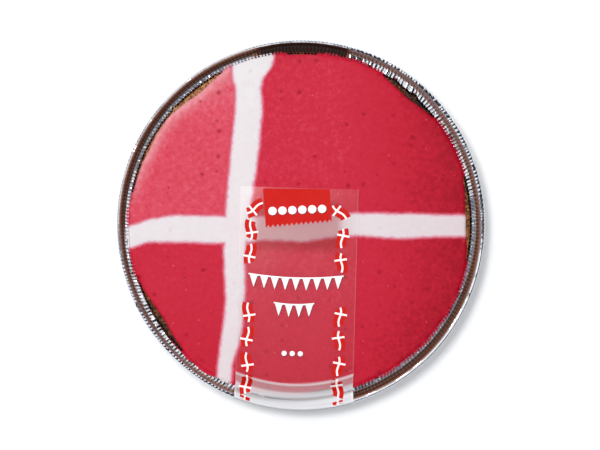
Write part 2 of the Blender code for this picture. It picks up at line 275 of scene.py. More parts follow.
def pressed_foil():
    """Aluminium foil, rolled bright and pressed: a mirror with faint creases.

    The inner side of its rim has a brown band in fine lines round the tray, darkened by painted shade in the
    valleys of its pleats and in the rim's corner, with a painted dark reflection on the ledge at the back.
    """
    material, add, shader = new_material("pressed_aluminium_foil")
    place = add("TexCoord").outputs["Object"]
    flat = add("VectorMath", (place, LEVEL), operation="MULTIPLY")
    radius = add("VectorMath", (flat,), operation="LENGTH")
    lines = add("TexNoise", {"W": radius, "Scale": 1 / (0.5 * MM)}, noise_dimensions="1D")
    creases = add("TexNoise", {"Vector": place, "Scale": 1 / (1.6 * MM), "Detail": 3.0})
    rim_brown_and_shade = add("Attribute", attribute_name="brown_and_shade").outputs["Fac"]
    crest = add("Attribute", attribute_name="crest").outputs["Fac"]
    streak = add("MapRange", {"Value": lines, **NOISE_RANGE, "To Min": -0.2, "To Max": 0.2})
    # Valleys of the pleats are painted browner and darker than the crests: painted shade in the folds.
    fold_mark = add("Math", (crest, -0.75, streak), operation="MULTIPLY_ADD")
    brown_and_shade_level = add("Math", (fold_mark, rim_brown_and_shade, rim_brown_and_shade), operation="MULTIPLY_ADD")
    # Its darkest stops are painted shade and painted dark reflection.
    brown_and_shade_colours = add("ValToRGB", (brown_and_shade_level,))
    set_stops(brown_and_shade_colours, (
        (0.0, "#dfe3e9"), (0.3, "#b59c96"), (0.5, "#8a6250"), (0.75, "#5a3524"), (1.0, "#261e1c")))
    bare = add("MapRange", {"Value": brown_and_shade_level, "From Max": 0.6, "To Min": 1.0, "To Max": 0.12})
    creased = add("MapRange", {"Value": creases, "To Min": 0.08, "To Max": 0.15})
    rough = add("Math", (brown_and_shade_level, 0.4, creased), operation="MULTIPLY_ADD")
    bump = add("Bump", {"Height": creases, "Strength": 0.25, "Distance": 0.1 * MM})
    supply(shader, {"Base Color": brown_and_shade_colours, "Metallic": bare, "Roughness": rough, "Normal": bump,
                    "Specular IOR Level": 0.2})
    return material


def baked_sponge():
    """Baked chocolate sponge: a dry open crumb of grains with painted shade between them, toasted tan on
    some sides.
    """
    material, add, shader = new_material("baked_chocolate_sponge")
    place = add("TexCoord").outputs["Object"]
    grains = add("TexVoronoi", {"Vector": place, "Scale": 1 / (0.8 * MM)})
    pick = add("SeparateColor", (grains.outputs["Color"],))
    crumb = add("TexNoise", {"Vector": place, "Scale": 1 / (1.6 * MM), "Detail": 3.0, "Roughness": 0.7})
    toasted = add("Attribute", attribute_name="toasted").outputs["Fac"]
    grain = add("Math", (pick, 0.3, toasted), operation="MULTIPLY_ADD")
    # Each grain darker towards its edge: painted shade between the grains.
    shaded_grain = add("Math", (grains, -0.35, grain), operation="MULTIPLY_ADD")
    opened = add("MapRange", {"Value": crumb, **NOISE_RANGE, "To Min": -0.3, "To Max": 0.3})
    shade = add("Math", (shaded_grain, opened), operation="ADD")
    colours = add("ValToRGB", (shade,))
    set_stops(colours, ((0.0, "#150b05"), (0.3, "#4f2a12"), (0.6, "#a0622f"), (1.0, "#cba683")))
    bump = add("Bump", {"Height": shade, "Strength": 0.6, "Distance": 0.4 * MM})
    supply(shader, {"Base Color": colours, "Roughness": 0.9, "Normal": bump})
    return material


def spots(add, place, spacing, radius, share):
    """Round spots of uneven size, one to a cell at most, in the given share of the cells."""
    size = radius / spacing
    cells = add("TexVoronoi", {"Vector": place, "Scale": 1 / spacing}, voronoi_dimensions="2D")
    pick = add("SeparateColor", (cells.outputs["Color"],))
    reach = add("MapRange", {"Value": pick, "From Min": 1 - share, "To Max": size})
    inside = add("Math", (reach, cells), operation="SUBTRACT")
    return add("MapRange", {"Value": inside, "From Max": 0.8 * size}, interpolation_type="SMOOTHSTEP")


def sugar_icing(name, shades, dark_fleck, light_fleck, bleeds):
    """Poured sugar icing, set: satin, mottled, with pits, flecks and the other colour bled into its edge.

    Each shade is how pale it is, painted light included, and its colour. Each bleed is its reach from the
    edge, its strength there and its colour.
    """
    material, add, shader = new_material(name)
    place = add("TexCoord").outputs["Object"]
    mottle = add("TexNoise", {"Vector": place, "Scale": 1 / (2.4 * MM), "Detail": 6.0, "Roughness": 0.72})
    uneven = add("MapRange", {"Value": mottle, **NOISE_RANGE, "To Min": -0.11, "To Max": 0.11})
    # Paleness with painted light in it: paler at the back left, deeper to the right and front.
    tone_and_light = add("Attribute", attribute_name="paleness_and_light").outputs["Fac"]
    shade = add("Math", (tone_and_light, uneven), operation="ADD")
    colour = add("ValToRGB", (shade,))
    set_stops(colour, shades)
    pits = spots(add, place, spacing=8 * MM, radius=1.9 * MM, share=0.6)
    flecks = spots(add, place, spacing=3.1 * MM, radius=0.5 * MM, share=0.5)
    bubbles = spots(add, place, spacing=6.3 * MM, radius=0.7 * MM, share=0.3)
    marks = ((pits, 0.7, dark_fleck), (flecks, 0.35, dark_fleck), (bubbles, 0.5, light_fleck))
    layers = [(add("Math", (mark, strength), operation="MULTIPLY"), hue) for mark, strength, hue in marks]
    edge = add("Attribute", attribute_name="cross_edge").outputs["Fac"]
    ragged = add("TexNoise", {"Vector": place, "Scale": 1 / (1.8 * MM), "Detail": 2.0})
    shift = add("MapRange", {"Value": ragged, **NOISE_RANGE, "To Min": -0.3 * MM, "To Max": 0.3 * MM})
    distance = add("Math", (edge, shift), operation="ADD")
    for reach, strength, hue in bleeds:
        fade = add("MapRange", {"Value": distance, "From Max": reach, "To Min": strength, "To Max": 0.0},
                   interpolation_type="SMOOTHSTEP")
        layers.append((fade, hue))
    for share, hue in layers:
        colour = add("Mix", {"Factor": share, "A": colour, "B": linear(hue)}, data_type="RGBA")
    grain = add("TexNoise", {"Vector": place, "Scale": 1 / (1.4 * MM), "Detail": 3.0})
    relief = add("Math", (grain, pits), operation="SUBTRACT")
    bump = add("Bump", {"Height": relief, "Strength": 0.35, "Distance": 0.12 * MM})
    rough = add("MapRange", {"Value": mottle, "To Min": 0.38, "To Max": 0.55})
    supply(shader, {"Base Color": colour, "Roughness": rough, "Normal": bump, "Specular IOR Level": 0.05})
    return material


def clear_sheet(name, face_on, edge_on, rough):
    """Clear plastic sheet: it lets light straight through, with a thin gloss that grows to its edges."""
    material, add, shader = new_material(name)
    nodes = material.node_tree.nodes
    nodes.remove(shader)
    through = add("BsdfTransparent", {"Color": linear(CLEAR)})
    shine = add("BsdfGlossy", {"Roughness": rough})
    tilt = add("LayerWeight", {"Blend": 0.5}).outputs["Facing"]
    steep = add("Math", (tilt, 5.0), operation="POWER")
    gloss = add("MapRange", {"Value": steep, "To Min": face_on, "To Max": edge_on})
    clear = add("MixShader", (gloss, through, shine))
    supply(nodes["Material Output"], {"Surface": clear})
    return material, add, clear


def printed_film():
    """Clear label film: glossier than the lid, with a painted pink shadow of the patch, and painted haze,
    highlight and reflection where it bends and over the rim.

    The painted haze is lit as if level, so it is as bright on a slope as on the level.
    """
    material, add, clear = clear_sheet("clear_polypropylene_film", face_on=0.012, edge_on=0.6, rough=0.15)
    nodes = material.node_tree.nodes
    # The patch's shadow, painted as a pink tint on the film.
    patch_shadow = add("Attribute", attribute_name="patch_shadow").outputs["Fac"]
    patch_shadowed = add("Mix", {
        "Factor": patch_shadow, "A": linear(CLEAR), "B": linear(FILM_PATCH_SHADOW_COLOUR)}, data_type="RGBA")
    supply(nodes["Transparent BSDF"], {"Color": patch_shadowed})
    upward = add("CombineXYZ", {"Z": 1.0})
    # Painted haze and highlight, lit as if level.
    haze_and_highlight = add("BsdfDiffuse", {"Color": linear("#f0f0f3"), "Normal": upward})
    haze_and_highlight_share = add("Attribute", attribute_name="haze_and_highlight").outputs["Fac"]
    mixed = add("MixShader", (haze_and_highlight_share, clear, haze_and_highlight))
    supply(nodes["Material Output"], {"Surface": mixed})
    return material


def ink(name, colour):
    """Printing ink on film: flat and even, with a soft gloss. Some of its light goes on to what is below."""
    material, add, shader = new_material(name)
    place = add("TexCoord").outputs["Object"]
    lay = add("TexNoise", {"Vector": place, "Scale": 1 / (4 * MM), "Detail": 2.0})
    rough = add("MapRange", {"Value": lay, "To Min": 0.4, "To Max": 0.55})
    supply(shader, {"Base Color": linear(colour), "Roughness": rough, "Specular IOR Level": 0.1})
    glow = add("BsdfTranslucent", {"Color": linear(colour)})
    both = add("MixShader", (0.3, shader, glow))
    supply(material.node_tree.nodes["Material Output"], {"Surface": both})
    return material


# Shared shape tools

def around_circle(values, angles):
    """Each column of a table by direction in degrees, read off at the given angles."""
    directions, *columns = values.T
    return [np.interp(np.degrees(angles), directions, column, period=360) for column in columns]


def dips(angles, entries):
    """Soft dips round a circle, summed: each has its direction in degrees, depth in mm and half width."""
    direction, depth, half_width = np.array(entries).T[:, :, None]
    away = (np.degrees(angles) - direction + 180) % 360 - 180
    return (depth * np.exp(-((away / half_width) ** 2))).sum(axis=0) * MM


def pushed_out(points, distance):
    """The points moved away from the axis, each by its own distance."""
    moved = points.copy()
    moved[:, :2] *= (1 + distance / np.maximum(np.hypot(*points[:, :2].T), TINY))[:, None]
    return moved


def eased(share):
    """A share from 0 to 1 with a soft start and end."""
    return share * share * (3 - 2 * share)


def swell(x, y, across, along, cut):
    """Smooth noise over the plan, with waves of about the given lengths. Each cut gives another one."""
    return np.array([noise.noise(Vector((a / across, b / along, cut))) for a, b in zip(x, y)])


def mesh_object(name, points, faces):
    """An object in the scene at the origin, with the given mesh."""
    mesh = bpy.data.meshes.new(name)
    mesh.from_pydata(points, [], faces)
    obj = bpy.data.objects.new(name, mesh)
    bpy.context.scene.collection.objects.link(obj)
    return obj


def close_poles(obj):
    """Merges the points of a row at radius 0, and those of two rows that meet."""
    work = bmesh.new()
    work.from_mesh(obj.data)
    bmesh.ops.remove_doubles(work, verts=work.verts, dist=TINY)
    work.to_mesh(obj.data)
    work.free()


def turned_shape(rows, columns):
    """Points and quads of rows of (radius, height) turned about Z. Rows down an outer side face out."""
    rows = np.array([row[:2] for row in rows])
    angles = np.arange(columns) * (TURN / columns)
    x = rows[:, :1] * np.cos(angles)
    y = rows[:, :1] * np.sin(angles)
    z = np.broadcast_to(rows[:, 1:], x.shape)
    points = np.stack([x, y, z], axis=-1).reshape(-1, 3)
    here = np.arange(columns)
    after = np.roll(here, -1)
    upper = np.arange(len(rows) - 1)[:, None] * columns
    lower = upper + columns
    faces = np.stack([upper + here, lower + here, lower + after, upper + after], axis=-1)
    return points, faces.reshape(-1, 4).tolist()


def set_points_attribute(obj, name, values):
    """Gives each point of the object a number that its material or its tree reads."""
    attribute = obj.data.attributes.new(name, "FLOAT", "POINT")
    attribute.data.foreach_set("value", np.asarray(values, np.float32))


def filleted(corners, bend, pieces=5):
    """A polyline with each inner corner rounded by an arc-like curve of about the given size."""
    corners = [Vector(corner) for corner in corners]
    path = [corners[0]]
    for before, corner, after in zip(corners, corners[1:], corners[2:]):
        start = corner + (before - corner).normalized() * min(bend, (before - corner).length * 0.45)
        end = corner + (after - corner).normalized() * min(bend, (after - corner).length * 0.45)
        for piece in range(pieces + 1):
            t = piece / pieces
            path.append(start * (1 - t) ** 2 + corner * 2 * t * (1 - t) + end * t * t)
    return [tuple(point) for point in path + [corners[-1]]]


def divided(path, step):
    """The same polyline with no stretch longer than the step."""
    fine = [path[0]]
    for start, end in zip(path, path[1:]):
        length = math.dist(start, end)
        pieces = max(1, math.ceil(length / step))
        for piece in range(1, pieces + 1):
            t = piece / pieces
            fine.append(tuple(a + (b - a) * t for a, b in zip(start, end)))
    return fine


def roll(centre, size, first, last, pieces):
    """Part of a ring that is a little square, as a rolled edge pressed flat on top."""
    flatness = 0.7
    angles = [math.radians(first + (last - first) * i / pieces) for i in range(pieces + 1)]
    sides = [(math.cos(a), math.sin(a)) for a in angles]
    return [tuple(c + size * math.copysign(abs(s) ** flatness, s) for c, s in zip(centre, side))
            for side in sides]


def thicken(obj, thickness, offset=-1.0):
    """Gives a sheet its thickness, below its face unless the offset is 1."""
    solidify = obj.modifiers.new("sheet", "SOLIDIFY")
    solidify.thickness = thickness
    solidify.offset = offset


def settle(obj):
    """Gives the object the mesh that its modifiers make, and removes them."""
    graph = bpy.context.evaluated_depsgraph_get()
    mesh = bpy.data.meshes.new_from_object(obj.evaluated_get(graph))
    obj.modifiers.clear()
    obj.data = mesh
    mesh.name = obj.name


def finish_piece(obj, material, nodes=(), sharp=40):
    """Smooths and colours a piece, hides the parts that it stands for and hangs it on the body."""
    settle(obj)
    obj.data.materials.clear()
    obj.data.materials.append(material)
    obj.data.shade_smooth()
    obj.data.set_sharp_from_angle(angle=math.radians(sharp))
    if nodes:
        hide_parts(*nodes)
    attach(obj, BODY)


def geometry_tree(name, sockets):
    """A Geometry Nodes tree with the named inputs. Returns it, what adds a node to it, and its inputs."""
    tree = bpy.data.node_groups.new(name, "GeometryNodeTree")
    tree.interface.new_socket("Geometry", in_out="OUTPUT", socket_type="NodeSocketGeometry")
    for label, kind in {"Geometry": "Geometry", **sockets}.items():
        tree.interface.new_socket(label, in_out="INPUT", socket_type="NodeSocket" + kind)
    return tree, partial(add_node, tree), add_node(tree, "NodeGroupInput").outputs


def end_tree(tree, shape, material):
    """Realizes the shape, gives it its material and makes it the tree's output. Returns the tree."""
    real = add_node(tree, "GeometryNodeRealizeInstances", {"Geometry": shape})
    painted = add_node(tree, "GeometryNodeSetMaterial", {"Geometry": real, "Material": material})
    add_node(tree, "NodeGroupOutput", {"Geometry": painted})
    return tree


def grow(obj, tree, values):
    """Runs the tree on the object with the given inputs, and keeps the plain mesh that it makes."""
    modifier = obj.modifiers.new(tree.name, "NODES")
    modifier.node_group = tree
    for item in tree.interface.items_tree:
        if item.in_out == "INPUT" and item.name in values:
            modifier[item.identifier] = values[item.name]
    settle(obj)


# Foil tray

def tray_rows():
    """The tray's outer side, from the curl's free end down to the base: radius, height and fold depth."""
    curl = [(r, z, 0.28 * MM) for r, z in roll(CURL_CENTRE, CURL, first=-110, last=150, pieces=18)]
    ledge_end = (WALL_TOP_RADIUS, LEDGE_HEIGHT)
    corners = [curl[-1][:2], (LEDGE_OUTER_RADIUS, LEDGE_HEIGHT), ledge_end]
    path = filleted(corners, bend=0.25 * MM, pieces=2)
    ledge = []
    for r, z in divided(path, step=0.6 * MM)[1:]:
        inside = LEDGE_OUTER_RADIUS - r
        ledge.append((r, z, float(np.interp(inside, (0.2 * MM, 0.6 * MM), (0.22 * MM, 0.36 * MM)))))
    under_ledge = (WALL_TOP_RADIUS - 0.15 * MM, LEDGE_HEIGHT - 0.3 * MM)
    wall = [(r, z, 0.32 * MM) for r, z in divided([under_ledge, WALL_FOOT], step=9 * MM)]
    corner = [(72.6 * MM, 0.9 * MM, 0.2 * MM), (71.8 * MM, 0.25 * MM, 0.1 * MM), (BASE_RADIUS, 0.0, 0.0)]
    return curl + ledge + wall + corner


def base_rows():
    """The base, from just inside its edge to its centre, with two raised rings."""
    rows = [(BASE_RADIUS - 1.5 * MM, 0.0)]
    for radius in sorted(RIB_RADII, reverse=True):
        rows += [(radius + 1.6 * MM, 0.0), (radius + 0.8 * MM, RIB_HEIGHT)]
        rows += [(radius - 0.8 * MM, RIB_HEIGHT), (radius - 1.6 * MM, 0.0)]
    return rows + [(0.0, 0.0)]


def bulge(angle, radius):
    """How far the foil at a direction and a true radius stands out of the round."""
    corner, edge = around_circle(OUT_OF_ROUND, angle)
    up_to_corner = np.clip((radius - WALL_TOP_RADIUS) / (LEDGE_OUTER_RADIUS - WALL_TOP_RADIUS), 0.0, 1.0)
    past_corner = np.clip((radius - LEDGE_OUTER_RADIUS) / (TRAY_HIGH.x - LEDGE_OUTER_RADIUS), 0.0, 1.0)
    return up_to_corner * (corner + (edge - corner) * past_corner) * MM


def bulged(points):
    """The points moved out of the round, as the soft foil is."""
    x, y = points[:, :2].T
    return pushed_out(points, bulge(np.arctan2(y, x), np.hypot(x, y)))


def notched(points, edge_radius, reach):
    """The points with the notches pressed outwards round an edge."""
    x, y = points[:, :2].T
    near = np.clip(1 - np.abs(np.hypot(x, y) - edge_radius) / reach, 0.0, 1.0)
    return pushed_out(points, near * dips(np.arctan2(y, x), NOTCHES))


def foil_height(x, y):
    """How high the crests of the tray's wall and ledge come at a place."""
    inside = WALL_TOP_RADIUS + dips(np.arctan2(y, x), NOTCHES) - np.hypot(x, y)
    return LEDGE_HEIGHT + 0.45 * MM - 1.6 * np.maximum(inside, 0.0)


def crimp_tree():
    """Folds a turned sheet along its normals in radial pleats of uneven depth and width."""
    tree, add, given = geometry_tree("crimp", {
        "Pleats": "Int", "Uneven Depth": "Float", "Uneven Width": "Float", "Dents": "Float",
        "Slant": "Float", "Seed": "Float", "Material": "Material"})
    fold_depth = add("GeometryNodeInputNamedAttribute", {"Name": "fold"})
    unevenness = add("GeometryNodeInputNamedAttribute", {"Name": "uneven"})
    place = add("GeometryNodeInputPosition")
    flat = add("VectorMath", (place, LEVEL), operation="MULTIPLY")
    out = add("VectorMath", (flat,), operation="NORMALIZE")
    around = add("VectorMath", ((0.0, 0.0, 1.0), out), operation="CROSS_PRODUCT")
    # The noises of the pleats' depth, lean, dents and width: over what, scale and detail.
    noises = [
        add("TexNoise", {"Vector": over, "W": given["Seed"], "Scale": scale, "Detail": detail},
            noise_dimensions="4D")
        for over, scale, detail in (
            (out, 26.0, 2.0), (out, 4.0, 2.0), (place, 1 / (2.2 * MM), 2.0),
            (out, LEDGE_OUTER_RADIUS / (1.8 * MM), 1.0))]
    depth = add("MapRange", {"Value": noises[0], **NOISE_RANGE}, clamp=False)
    lean, dent, ripple = [add("Math", (uneven, 0.5), operation="SUBTRACT") for uneven in noises[1:]]

    # The fold: a zigzag round the tray, dented, along the sheet's normals.
    parts = add("SeparateXYZ", (place,)).outputs
    angle = add("Math", (parts["Y"], parts["X"]), operation="ARCTAN2")
    share = add("Math", (angle, TURN), operation="DIVIDE")
    turns = add("Math", (share, given["Pleats"]), operation="MULTIPLY")
    fold = add("Math", (turns, 0.5), operation="PINGPONG")
    wave = add("Math", (fold, 4.0, -1.0), operation="MULTIPLY_ADD")
    scaled = add("Mix", {"Factor": given["Uneven Depth"], "A": 1.0, "B": depth})
    height = add("Math", (wave, scaled), operation="MULTIPLY")
    dents = add("Math", (unevenness, given["Dents"]), operation="MULTIPLY")
    dented = add("Math", (dent, dents, height), operation="MULTIPLY_ADD")
    lift = add("Math", (dented, fold_depth), operation="MULTIPLY")
    normal = add("GeometryNodeInputNormal")
    folded = add("VectorMath", {0: normal, "Scale": lift}, operation="SCALE")

    # The slide round the tray: it makes the pleats uneven in width, and lean on the ledge.
    radius = add("VectorMath", (flat,), operation="LENGTH")
    beyond = add("Math", (radius, WALL_TOP_RADIUS), operation="SUBTRACT")
    on_ledge = add("Math", (beyond, 0.0), operation="MAXIMUM")
    slant = add("Math", (lean, given["Slant"]), operation="MULTIPLY")
    leaning = add("Math", (slant, on_ledge), operation="MULTIPLY")
    spread = add("Math", (ripple, fold_depth), operation="MULTIPLY")
    slide = add("Math", (spread, given["Uneven Width"], leaning), operation="MULTIPLY_ADD")
    slide_here = add("Math", (slide, unevenness), operation="MULTIPLY")
    shifted = add("VectorMath", {0: around, "Scale": slide_here}, operation="SCALE")

    move = add("VectorMath", (folded, shifted), operation="ADD")
    fold_mark = add("Math", (lift, unevenness), operation="MULTIPLY")
    crest = add("Math", (fold_mark, 0.25 * MM), operation="DIVIDE")
    kept = add("GeometryNodeStoreNamedAttribute", {
        "Geometry": given["Geometry"], "Name": "crest", "Value": crest}, data_type="FLOAT")
    moved = add("GeometryNodeSetPosition", {"Geometry": kept, "Offset": move})
    return end_tree(tree, moved, given["Material"])


def make_tray():
    foil = pressed_foil()
    rows = tray_rows()
    columns = PLEATS * POINTS_IN_A_PLEAT
    side_points, side_faces = turned_shape(rows, columns)
    base_points, base_faces = turned_shape(base_rows(), BASE_COLUMNS)
    first = len(side_points)
    edge = first - columns
    step = columns // BASE_COLUMNS
    joins = []
    for i in range(BASE_COLUMNS):
        outer = [edge + (i * step + k) % columns for k in reversed(range(step + 1))]
        joins.append(outer + [first + i, first + (i + 1) % BASE_COLUMNS])
    faces = side_faces + [[first + corner for corner in face] for face in base_faces] + joins
    points = notched(np.concatenate([side_points, base_points]), WALL_TOP_RADIUS, reach=1.6 * MM)
    tray = mesh_object("crimped_foil_tray", bulged(points).tolist(), faces)

    # The brown band, painted dark as shade beside the ledge; at the back the ledge gets a painted dark
    # reflection.
    brown, start, end, depth, uneven, ledge_shade = around_circle(RIM_ROUND, np.arange(columns) * TURN / columns)
    radii, folds = np.array(rows).T[[0, 2], :, None]
    beyond = (radii - LEDGE_OUTER_RADIUS) / MM
    folds = folds * np.where(beyond > start - 0.2, depth, 1.0)
    brown_and_shade = brown * np.interp((beyond - start) / (end - start), *BROWN_AND_SHADE)
    brown_and_shade = np.maximum(brown_and_shade, ledge_shade * (radii > WALL_TOP_RADIUS - 0.1 * MM) * (beyond < end))
    brown_and_shade[:OUTER_ROWS] = 0.0
    for name, values in (("fold", folds), ("brown_and_shade", brown_and_shade), ("uneven", uneven + 0 * folds)):
        set_points_attribute(tray, name, np.concatenate([values.reshape(-1), np.zeros(len(base_points))]))
    close_poles(tray)
    grow(tray, crimp_tree(), {"Pleats": PLEATS, "Uneven Depth": 0.25, "Uneven Width": 4.5, "Dents": 0.6,
                              "Slant": 3.0, "Seed": 3.0, "Material": foil})
    thicken(tray, FOIL)
    finish_piece(tray, foil, ["foil_tray"], sharp=20)


# Sponge

def sponge_rows():
    top = [(0.0, SPONGE_HIGH.z), (SHOULDER_RADIUS, SPONGE_HIGH.z)]
    shoulder = [(SHOULDER_RADIUS + 1.0 * MM, SHOULDER_HEIGHT),
                (SPONGE_EDGE_RADIUS - 0.8 * MM, SHOULDER_HEIGHT), (SPONGE_EDGE_RADIUS, SPONGE_EDGE_HEIGHT)]
    foot = (WALL_FOOT[0] - 1.0 * MM, WALL_FOOT[1])
    side = [(SPONGE_EDGE_RADIUS - 1.2 * MM, SPONGE_EDGE_HEIGHT - 1.5 * MM), foot]
    base = [(BASE_RADIUS - 1.0 * MM, SPONGE_LOW.z), (0.0, SPONGE_LOW.z)]
    return top + divided(shoulder, step=0.45 * MM) + side + base


def crumb_tree():
    """Roughens the sponge's shoulder and scatters loose crumbs of uneven size on it."""
    tree, add, given = geometry_tree("crumb", {
        "Roughness": "Float", "Crumbs In A Square Metre": "Float", "Crumb Radius": "Float",
        "Shoulder Radius": "Float", "Seed": "Int", "Material": "Material"})
    place = add("GeometryNodeInputPosition")
    flat = add("VectorMath", (place, LEVEL), operation="MULTIPLY")
    radius = add("VectorMath", (flat,), operation="LENGTH")
    height = add("SeparateXYZ", (place,)).outputs["Z"]
    beyond = add("Math", (radius, given["Shoulder Radius"]), operation="GREATER_THAN")
    high = add("Math", (height, SPONGE_EDGE_HEIGHT - 1.0 * MM), operation="GREATER_THAN")
    seen = add("FunctionNodeBooleanMath", (beyond, high), operation="AND")
    pores = add("TexNoise", {"Vector": place, "Scale": 1 / (1.3 * MM), "Detail": 3.0})
    centred = add("Math", (pores, 0.6), operation="SUBTRACT")
    depth = add("Math", (centred, given["Roughness"]), operation="MULTIPLY")
    rise = add("CombineXYZ", {"Z": depth})
    rough = add("GeometryNodeSetPosition", {
        "Geometry": given["Geometry"], "Selection": seen, "Offset": rise})
    points = add("GeometryNodeDistributePointsOnFaces", {
        "Mesh": rough, "Selection": seen, "Density": given["Crumbs In A Square Metre"],
        "Seed": given["Seed"]})
    ball = add("GeometryNodeMeshIcoSphere", {"Radius": given["Crumb Radius"], "Subdivisions": 2})
    size, turn = [
        add("FunctionNodeRandomValue", {0: least, 1: most, "Seed": given["Seed"]}, data_type="FLOAT_VECTOR")
        for least, most in (((0.4, 0.5, 0.3), (1.3, 1.2, 0.9)), ((0.0, 0.0, 0.0), (TURN, TURN, TURN)))]
    crumbs = add("GeometryNodeInstanceOnPoints", {
        "Points": points, "Instance": ball, "Rotation": turn, "Scale": size})
    both = add("GeometryNodeJoinGeometry")
    for part in (crumbs, rough):
        supply(both, {"Geometry": part})
    return end_tree(tree, both, given["Material"])


def make_sponge():
    crumb = baked_sponge()
    points, faces = turned_shape(sponge_rows(), SPONGE_COLUMNS)
    points = notched(points, SPONGE_EDGE_RADIUS, reach=2.0 * MM)
    sponge = mesh_object("chocolate_sponge_crumb", points.tolist(), faces)
    toasted, = around_circle(TOASTED, np.arctan2(points[:, 1], points[:, 0]))
    set_points_attribute(sponge, "toasted", toasted)
    close_poles(sponge)
    grow(sponge, crumb_tree(), {
        "Roughness": 1.8 * MM, "Crumbs In A Square Metre": 7e5, "Crumb Radius": 0.33 * MM,
        "Shoulder Radius": SHOULDER_RADIUS + 1.5 * MM, "Seed": 5, "Material": crumb})
    finish_piece(sponge, crumb, ["chocolate_sponge"])


# Icing

def station_curve(stations):
    """Dense tables of place, centre line and half width on a smooth curve through stations, in metres."""
    rows = np.array(sorted(stations), float) * MM
    places = np.linspace(rows[0, 0], rows[-1, 0], 361)
    index = np.clip(np.searchsorted(rows[:, 0], places) - 1, 0, len(rows) - 2)
    start, end = rows[index], rows[index + 1]
    span = end[:, :1] - start[:, :1]
    slopes = np.gradient(rows[:, 1:], rows[:, 0], axis=0)
    t = (places[:, None] - start[:, :1]) / span
    values = (start[:, 1:] * (2 * t**3 - 3 * t**2 + 1) + slopes[index] * span * (t**3 - 2 * t**2 + t)
              + end[:, 1:] * (3 * t**2 - 2 * t**3) + slopes[index + 1] * span * (t**3 - t**2))
    for column, side in ((0, 1.7), (1, 5.2)):
        values[:, column] += RAGGED_EDGE * swell(places, np.full_like(places, side), 3.5 * MM, 1.0, cut=0.5)
    return places, values[:, 0], values[:, 1]


UPRIGHT_CURVE = station_curve(UPRIGHT)
CROSSBAR_CURVE = station_curve(CROSSBAR)


def cross_distance(x, y):
    """How far a point lies outside the white cross, below 0 inside it."""
    return np.minimum(*[
        np.abs(across - np.interp(along, places, centre)) - np.interp(along, places, half)
        for across, along, (places, centre, half) in ((x, y, UPRIGHT_CURVE), (y, x, CROSSBAR_CURVE))])


def icing_radius(angle):
    """The icing's edge: a circle with small ripples, its bays and its bulges."""
    ripples = 0.12 * MM * np.sin(23 * angle) + 0.1 * MM * np.sin(41 * angle + 1)
    return ICING_RADIUS + ripples - dips(angle, ICING_BAYS)


def icing_height(x, y):
    """The icing's upper face: nearly level, a little uneven, and rounded down at its edge."""
    inward = np.clip(icing_radius(np.arctan2(y, x)) - np.hypot(x, y), 0.0, ICING_EDGE)
    drop = ICING_EDGE - np.sqrt(ICING_EDGE**2 - (ICING_EDGE - inward) ** 2)
    slow = swell(x, y, across=22 * MM, along=22 * MM, cut=0.3)
    quick = swell(x, y, across=5 * MM, along=5 * MM, cut=4.1)
    return ICING_HIGH.z - 0.25 * MM - drop + 0.2 * MM * slow + 0.05 * MM * quick


def bar_outline(curve, upright, grow_by):
    """The two sides of a bar as one ring of points, moved outwards by a distance."""
    places, centre, half = curve
    sides = [(places, centre - half - grow_by), (places[::-1], (centre + half + grow_by)[::-1])]
    ring = np.concatenate([np.stack(side, axis=-1) for side in sides])
    return ring[:, ::-1] if upright else ring


def icing_plan():
    """Triangles of the whole icing seen from above, with lines along its edge and the cross's edges."""
    angles = np.arange(EDGE_POINTS) * (TURN / EDGE_POINTS)
    round_the_cake = np.stack([np.cos(angles), np.sin(angles)], axis=-1)
    edge = icing_radius(angles)[:, None]
    bars = ((UPRIGHT_CURVE, True), (CROSSBAR_CURVE, False))
    outlines = [round_the_cake * edge] + [bar_outline(*bar, 0.0) for bar in bars]
    loose = [round_the_cake * (edge - inset * MM) for inset in (0.06, 0.2, 0.45, 0.8, 1.25)]
    loose += [bar_outline(*bar, offset * MM) for offset in (-1.4, -0.7, -0.3, 0.3, 0.7) for bar in bars]
    steps = np.arange(-ICING_RADIUS, ICING_RADIUS, POINT_SPACING)
    grid = np.stack(np.meshgrid(steps, steps), axis=-1).reshape(-1, 2)
    grid = grid + np.random.default_rng(7).uniform(-0.3, 0.3, grid.shape) * POINT_SPACING
    loose.append(grid[np.abs(cross_distance(*grid.T)) >= 1.2 * MM])
    loose = np.concatenate(loose)
    inside = np.hypot(*loose.T) < icing_radius(np.arctan2(loose[:, 1], loose[:, 0])) - 0.05 * MM
    points = np.concatenate(outlines + [loose[inside]])
    lines = []
    first = 0
    for outline in outlines:
        count = len(outline)
        lines += [(first + i, first + (i + 1) % count) for i in range(count)]
        first += count
    made = geometry.delaunay_2d_cdt([Vector(point) for point in points], lines, [], 0, 1e-7)
    return np.array([tuple(corner) for corner in made[0]]), np.array(made[2])


def drift(place, change):
    """A change that sets in between two places."""
    start, end, amount = change
    return amount * np.clip((place - start) / (end - start), 0.0, 1.0)


def paleness_and_light(x, y, soft):
    """How pale the icing is: four fields of slightly different tone, with painted light paler at the back
    left.
    """
    right = x - np.interp(y, *UPRIGHT_CURVE[:2])
    back = y - np.interp(x, *CROSSBAR_CURVE[:2])
    right, back = [np.clip(side / soft + 0.5, 0.0, 1.0) for side in (right, back)]
    left_side, right_side = [
        FIELD_TONE_AND_LIGHT["front " + side] * (1 - back) + FIELD_TONE_AND_LIGHT["back " + side] * back
        for side in ("left", "right")]
    field = (left_side + drift(y, PALER_BACK) * back) * (1 - right) + right_side * right
    angle = np.arctan2(y, x)
    near = np.clip(1 - (icing_radius(angle) - np.hypot(x, y)) / EDGE_SHEEN_AND_DEPTH_REACH, 0.0, 1.0)
    edge = around_circle(EDGE_SHEEN_AND_DEPTH, angle)[0] * near * near
    return field + drift(x, DEEPER_RIGHT) + drift(-y, DEEPER_FRONT) + edge


